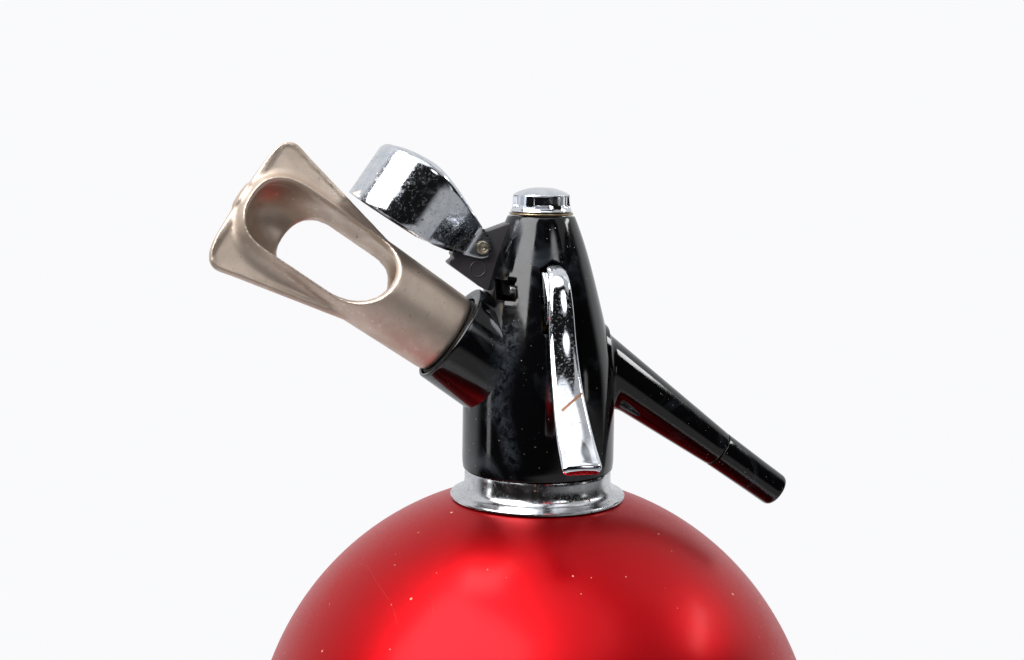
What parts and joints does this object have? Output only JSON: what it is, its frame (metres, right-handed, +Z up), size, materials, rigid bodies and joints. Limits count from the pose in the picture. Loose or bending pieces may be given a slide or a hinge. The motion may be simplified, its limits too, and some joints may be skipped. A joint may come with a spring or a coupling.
{
  "type": "soda siphon",
  "caption": "Globe soda siphon: round red metal bottle, black head with spout and chrome pour lever, screw-in gas bulb holder and hinged socket cover.",
  "frame": {"origin": "centre of the foot pad's under face, on the bottle's axis, where the siphon stands", "axes": "+Z up the bottle's axis to the head, +X the side the spout points to, -Y the side of the pour lever"},
  "size_m": [0.1641, 0.154, 0.2476],
  "materials": {
    "red_anodised": "satin metallic red, fine dust and scratches",
    "chrome_plate": "worn bright chrome with fine pitting",
    "black_gloss": "glossy black moulding with dust and grime",
    "bronze_casting": "satin champagne bronze casting with fine pits",
    "brass_part": "plain machined brass",
    "black_rubber": "matt black rubber",
    "spring_steel": "bright steel",
    "pale_plastic": "pale smooth plastic"
  },
  "bodies": {
    "vessel": {"bottle_shell": "red_anodised", "foot_ring": "black_gloss", "foot_pad": "black_rubber", "neck_bush": "brass_part", "collar_ring": "chrome_plate"},
    "head": {"head_casing": "black_gloss", "valve_body": "brass_part", "gas_check_valve": "black_rubber", "valve_seat": "pale_plastic", "valve_gland": "brass_part", "valve_yoke": "brass_part", "top_cap": "chrome_plate", "cap_washer": "brass_part", "dip_tube": "pale_plastic", "dip_tube_nut": "brass_part", "spout_seal": "black_rubber", "spout": "black_gloss", "spout_tip": "black_gloss", "spout_liner": "pale_plastic", "socket_liner": "brass_part", "piercer_bush": "brass_part", "piercer_needle": "spring_steel", "bulb_seal": "black_rubber", "cover_pin": "brass_part", "lever_pin": "spring_steel"},
    "neck_seal": {"neck_gasket": "black_rubber"},
    "socket_cover": {"socket_cover": "chrome_plate"},
    "pour_lever": {"pour_lever": "chrome_plate"},
    "valve_stem": {"valve_stem": "brass_part", "valve_disc": "black_rubber", "valve_spring": "spring_steel"},
    "holder_washer": {"holder_washer": "black_rubber"},
    "bulb_holder": {"bulb_holder": "bronze_casting"}
  },
  "joints": [
    {"name": "head_lift", "type": "slide", "parent": "vessel", "child": "neck_seal", "axis": [0, 0, 1], "range_m": [0, 0.165]},
    {"name": "head_turn", "type": "hinge", "parent": "neck_seal", "child": "head", "pos_m": [0, 0, 0.15253], "axis": [0, 0, 1], "range_deg": [0, 1080]},
    {"name": "cover_swing", "type": "hinge", "parent": "head", "child": "socket_cover", "pos_m": [-0.0166, 0, 0.22023], "axis": [0, 1, 0], "range_deg": [0, 20]},
    {"name": "pour_press", "type": "hinge", "parent": "head", "child": "pour_lever", "pos_m": [0, -0.0085, 0.20953], "axis": [1, 0, 0], "range_deg": [0, 10], "stiffness_Nm_per_rad": 2, "springref_deg": -5.73},
    {"name": "valve_lift", "type": "slide", "parent": "head", "child": "valve_stem", "axis": [0, 0, 1], "range_m": [0, 0.0015], "deforming": ["valve_spring"]},
    {"name": "holder_travel", "type": "slide", "parent": "head", "child": "holder_washer", "axis": [-0.8221, 0, 0.5693], "range_m": [0, 0.00601]},
    {"name": "holder_turn", "type": "hinge", "parent": "holder_washer", "child": "bulb_holder", "pos_m": [0, 0, 0.17953], "axis": [-0.8221, 0, 0.5693], "range_deg": [0, 1440]}
  ],
  "couplings": [
    {"joint": "valve_lift", "follows": "pour_press", "m_per_rad": 0.0085},
    {"joint": "holder_travel", "follows": "holder_turn", "m_per_rad": 0.00023873}
  ]
}
